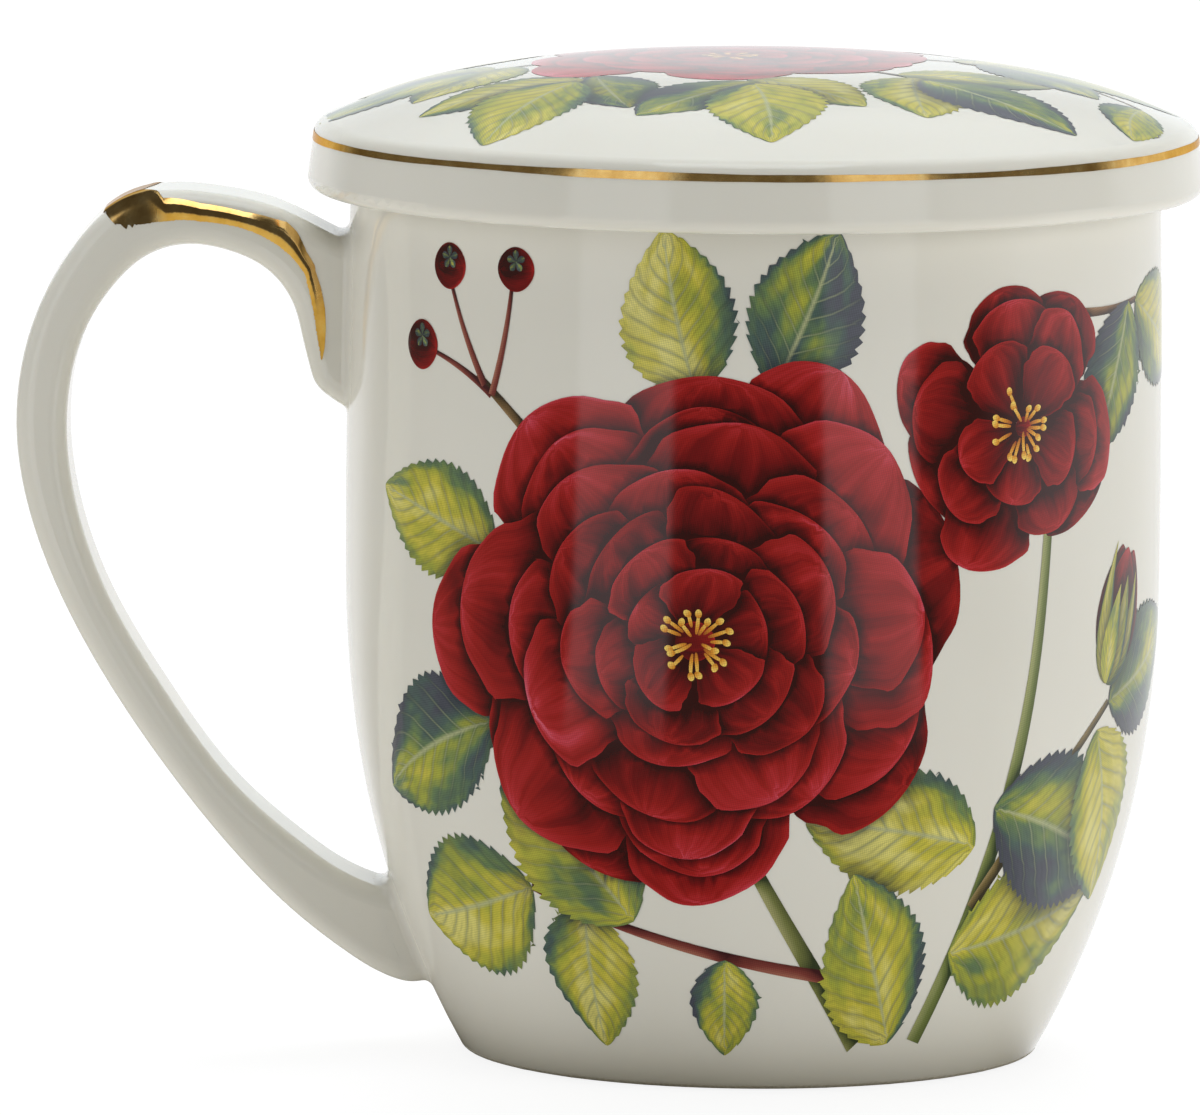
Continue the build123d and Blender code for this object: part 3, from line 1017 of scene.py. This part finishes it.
def gilding_row(handle, side, turn_deg, top, low):
    """One row across the gold at a turn round the arch: its places, its faces' leans, and how dull and
    yellow each point is, with the band's lower part and the tip painted brighter as a painted reflection.
    """
    centre = Vector((ARCH_CENTRE_MM[0], 0, ARCH_CENTRE_MM[1]))
    turn = math.radians(turn_deg)
    out = Vector((math.sin(turn), 0, math.cos(turn)))
    inner = handle.hit(centre, centre + out)[0]
    outer = handle.hit(inner + out * 0.5, inner + out)[0]
    middle = inner + out * 0.5 * min((outer - inner).length, STRAP_DEPTH_MM)
    stroke = between(turn_deg, STROKE_FROM_TURN_DEG)
    tip = between(turn_deg, STROKE_TIP_FROM_TURN_DEG)
    places = []
    leans = []
    satin = []
    for share in np.linspace(0.0, 1.0, GILDING_COLUMNS):
        tilt = 90.0 - (top + (low - top) * share)
        place, normal = handle.hit(middle + face_direction(out, side, tilt) * FAR_MM, middle)
        tilt += stroke * (np.interp(share, STROKE_SHARES, STROKE_TILTS_DEG) - tilt)
        tilt += tip * (np.interp(share, (0.0, 1.0), STROKE_TIP_TILTS_DEG) - tilt)
        dome = STROKE_DOME_MM * stroke * math.sin(math.pi * share)
        places.append(place + normal * (GOLD_LIFT_MM + dome))
        leans.append(face_direction(out, side, tilt))
        # The band's lower part and the stroke's tip: rougher gold, painted a brighter yellow as a
        # reflection of the table below.
        satin.append(max(between(share, SATIN_AND_REFLECTION_FROM_SHARE) * stroke, tip))
    return places, leans, satin


def make_gilding():
    """The handle's gold: a cap over the arch's far side that splits into a band down each flank."""
    handle = Surface("mug_handle")
    rng = np.random.default_rng(5)
    stations = np.array(GILDING_STATIONS_DEG)
    turns = np.arange(stations[0, 0], stations[-1, 0] + 0.01, GILDING_TURN_STEP_DEG)
    upper = np.interp(turns, stations[:, 0], stations[:, 1])
    lower = np.interp(turns, stations[:, 0], stations[:, 2])
    ragged = np.interp(turns, RAGGED_TURNS_DEG, RAGGED_AMOUNTS_DEG)
    for side, name in ((-1.0, "gilding_near"), (1.0, "gilding_far")):
        borders = zip(turns, upper, lower + rng.normal(0, 1, len(turns)) * ragged)
        rows = [gilding_row(handle, side, turn, top, low) for turn, top, low in borders]
        if side > 0:
            rows.reverse()
        places, leans, satin = (np.array(part, dtype=float) for part in zip(*rows))
        gold_sheet(name, "mug", places, satin, leans=leans)


make_gold_line()
make_gilding()


# ==== stage: floor, lights, camera ====
WALL_WHITE = rgb(1, 1, 1)
FLOOR_SIZE = 12.0
FLOOR_DROP = 0.0002
FLOOR_PAPER = rgb(0.9, 0.9, 0.9)
FLOOR_WHITE_LEVEL = 1.1
# The share of the floor that is plain white to the camera; the rest takes the object's shadow.
FLOOR_PLAIN_NEAR = 0.8
FLOOR_PLAIN_FROM = (0.5, 1.5)
# Round the mug's foot the table is painted darker: painted shade, so that less light comes up onto the
# foot. Away from the foot it glows white, a fill light from below that only the object's diffuse light
# sees.
TABLE_PAINTED_SHADE_NEAR = rgb(0.46, 0.42, 0.3)
TABLE_FAR = rgb(0.86, 0.83, 0.74)
TABLE_FROM_NEAR_TO_FAR = (0.045, 0.1)
TABLE_GLOSS = rgb(0.22, 0.2, 0.16)
TABLE_GLOW = 0.75
TABLE_GLOW_FROM = (0.031, 0.05)
TABLE_BOXES_FROM = (0.12, 0.26)
STUDIO_TINT = rgb(0.95, 0.98, 1.0)
# Azimuths are from the camera's side, -Y, towards +X. The studio is white from these limits round the back.
WHITE_FROM_RIGHT_DEG = (97.0, 112.0)
WHITE_FROM_LEFT_DEG = (124.0, 148.0)
FLOOR_WHITE_FROM_RIGHT_DEG = (62.0, 88.0)
SOFTBOXES_DEG = ((-49.0, -22.0), (19.0, 45.0))
SOFTBOX_EDGE_DEG = 1.5
SOFTBOX_LEVEL = 1.05
SOFTBOX_UNMIRRORED = 0.25
SOFTBOX_TOP = (0.5, 0.6)
CEILING_LEAN = (0.87, 0.5)
CEILING_FROM = (0.62, 0.92)
CEILING_LEVEL = 0.75
UPPER_WALL_FROM = (0.06, 0.35)
UPPER_WALL_LEVEL = 0.55
FRONT_LEVEL = 0.08


def white_behind(net, azimuth, from_right=WHITE_FROM_RIGHT_DEG):
    right = net.step(azimuth, *map(math.radians, from_right))
    left = net.step(net.times(azimuth, -1.0), *map(math.radians, WHITE_FROM_LEFT_DEG))
    return net.larger(right, left)


def softboxes(net, azimuth):
    total = 0.0
    edge = math.radians(SOFTBOX_EDGE_DEG)
    for sides in SOFTBOXES_DEG:
        enter, leave = (net.step(azimuth, side - edge, side + edge) for side in map(math.radians, sides))
        total = net.plus(net.minus(enter, leave), total)
    return net.times(total, SOFTBOX_LEVEL)


def azimuth_of(net, vector):
    """Azimuth from -Y towards +X, and the vector's parts."""
    x, y, z = net.parts(vector)
    return net.math("ARCTAN2", x, net.times(y, -1.0)), x, y, z


def seen_directly(net):
    return net.larger(net.ray_is("Camera"), net.ray_is("Transmission"))


def make_floor():
    """White to the camera, with the object's shadow kept. To the light that it gives, it is a table painted
    darker round the foot as painted shade, glowing white further away as a fill light from below.
    """
    bpy.ops.mesh.primitive_plane_add(size=FLOOR_SIZE, location=(0, 0, -FLOOR_DROP))
    floor = bpy.context.object
    floor.name = "floor"
    net = new_material("floor_white")
    azimuth, x, y, _ = azimuth_of(net, net.object_place())
    away = net.math("SQRT", net.plus(net.times(x, x), net.times(y, y)))
    white = net.add("ShaderNodeEmission", WALL_WHITE)
    table = net.diffuse(net.mix(net.step(away, *TABLE_FROM_NEAR_TO_FAR), TABLE_PAINTED_SHADE_NEAR, TABLE_FAR))
    glow = net.times(net.step(away, *TABLE_GLOW_FROM), TABLE_GLOW)
    glow_and_bounce = net.shaders(glow, table, white)
    boxes = net.times(softboxes(net, azimuth), net.step(away, *TABLE_BOXES_FROM))
    sheen = net.larger(white_behind(net, azimuth, FLOOR_WHITE_FROM_RIGHT_DEG), boxes)
    mirrored = net.shaders(sheen, net.diffuse(TABLE_GLOSS), white)
    unseen = net.shaders(net.ray_is("Glossy"), glow_and_bounce, mirrored)
    plain = net.line(net.step(away, *FLOOR_PLAIN_FROM), 1.0 - FLOOR_PLAIN_NEAR, FLOOR_PLAIN_NEAR)
    lit_white = net.add("ShaderNodeEmission", WALL_WHITE, FLOOR_WHITE_LEVEL)
    shown = net.shaders(plain, net.diffuse(FLOOR_PAPER), lit_white)
    floor.data.materials.append(net.finish(net.shaders(seen_directly(net), unseen, shown)))


def make_world():
    """White to the camera. The object stands in a white sweep, open in front between two softboxes."""
    net = Nodes(bpy.data.worlds.new("studio"))
    azimuth, _, back, up = azimuth_of(net, net.add("ShaderNodeTexCoord").outputs["Generated"])
    strength = net.line(net.ray_is("Glossy"), 1.0 - SOFTBOX_UNMIRRORED, SOFTBOX_UNMIRRORED)
    boxes = net.times(softboxes(net, azimuth), strength)
    boxes = net.times(boxes, net.minus(1.0, net.step(up, *SOFTBOX_TOP)))
    over_and_back = net.plus(net.times(up, CEILING_LEAN[0]), net.times(back, CEILING_LEAN[1]))
    ceiling = net.times(net.step(over_and_back, *CEILING_FROM), CEILING_LEVEL)
    wall = net.line(net.step(up, *UPPER_WALL_FROM), UPPER_WALL_LEVEL - 1.0, 1.0)
    wall = net.times(white_behind(net, azimuth), wall)
    level = net.larger(net.larger(wall, net.larger(boxes, ceiling)), FRONT_LEVEL)
    studio = net.add("ShaderNodeBackground", STUDIO_TINT, level)
    backdrop = net.add("ShaderNodeBackground", WALL_WHITE)
    sky = net.shaders(seen_directly(net), studio, backdrop)
    bpy.context.scene.world = net.finish(sky, "ShaderNodeOutputWorld")


LAMP_TARGET = Vector((0, 0, 0.055))
PLAIN = (1, 1, 1)
COOL = (0.93, 0.97, 1.0)
# Square soft lamps: azimuth and elevation in degrees, distance, size, watts, colour, and whether
# the glaze mirrors them. The small one overhead shows in the gold and along the lid's shoulder.
LAMPS = {
    "overhead": (-6.0, 77.0, 1.2, 0.62, 2.7, COOL, True),
    "key_left": (-78.0, 16.0, 1.5, 0.8, 4.3, PLAIN, False),
    "key_right": (64.0, 14.0, 1.5, 0.8, 6.2, PLAIN, False),
    "back_top": (175.0, 66.0, 1.3, 1.0, 11.6, COOL, False),
}


def make_lamp(name, azimuth_deg, elevation_deg, distance, size, power, colour, mirrored):
    lamp = bpy.data.lights.new(name, "AREA")
    lamp.shape = "SQUARE"
    lamp.size = size
    lamp.energy = power
    lamp.color = colour
    holder = bpy.data.objects.new(name, lamp)
    bpy.context.scene.collection.objects.link(holder)
    azimuth = math.radians(azimuth_deg)
    elevation = math.radians(elevation_deg)
    level = math.cos(elevation)
    away = Vector((math.sin(azimuth) * level, -math.cos(azimuth) * level, math.sin(elevation)))
    holder.location = LAMP_TARGET + away * distance
    holder.rotation_euler = away.to_track_quat("Z", "Y").to_euler()
    holder.visible_glossy = mirrored


def make_camera():
    scene = bpy.context.scene
    data = bpy.data.cameras.new("camera")
    camera = bpy.data.objects.new("camera", data)
    scene.collection.objects.link(camera)
    scene.camera = camera
    data.sensor_fit = "HORIZONTAL"
    data.sensor_width = SENSOR_MM
    data.lens = FOCAL_PX / FRAME_WIDTH_PX * SENSOR_MM
    data.clip_start = CAMERA_CLIP_START
    elevation = math.radians(CAMERA_ELEVATION_DEG)
    away = CAMERA_DISTANCE * math.cos(elevation)
    place = Vector((0, -away, AIM_HEIGHT + CAMERA_DISTANCE * math.sin(elevation)))
    to_aim = (Vector((0, 0, AIM_HEIGHT)) - place).normalized()
    base = to_aim.to_track_quat("-Z", "Y").to_matrix()
    right_px = AIM_PX[0] - FRAME_WIDTH_PX / 2
    up_px = FRAME_HEIGHT_PX / 2 - AIM_PX[1]
    pan = Matrix.Rotation(math.atan(right_px / FOCAL_PX), 3, "Y")
    nod = Matrix.Rotation(-math.atan(up_px / FOCAL_PX), 3, "X")
    roll = Matrix.Rotation(math.radians(CAMERA_ROLL_DEG), 3, "Z")
    camera.matrix_world = Matrix.Translation(place) @ (base @ pan @ nod @ roll).to_4x4()


make_floor()
make_world()
for lamp_name, lamp_settings in LAMPS.items():
    make_lamp(lamp_name, *lamp_settings)
make_camera()
bpy.context.scene.view_settings.view_transform = "Standard"
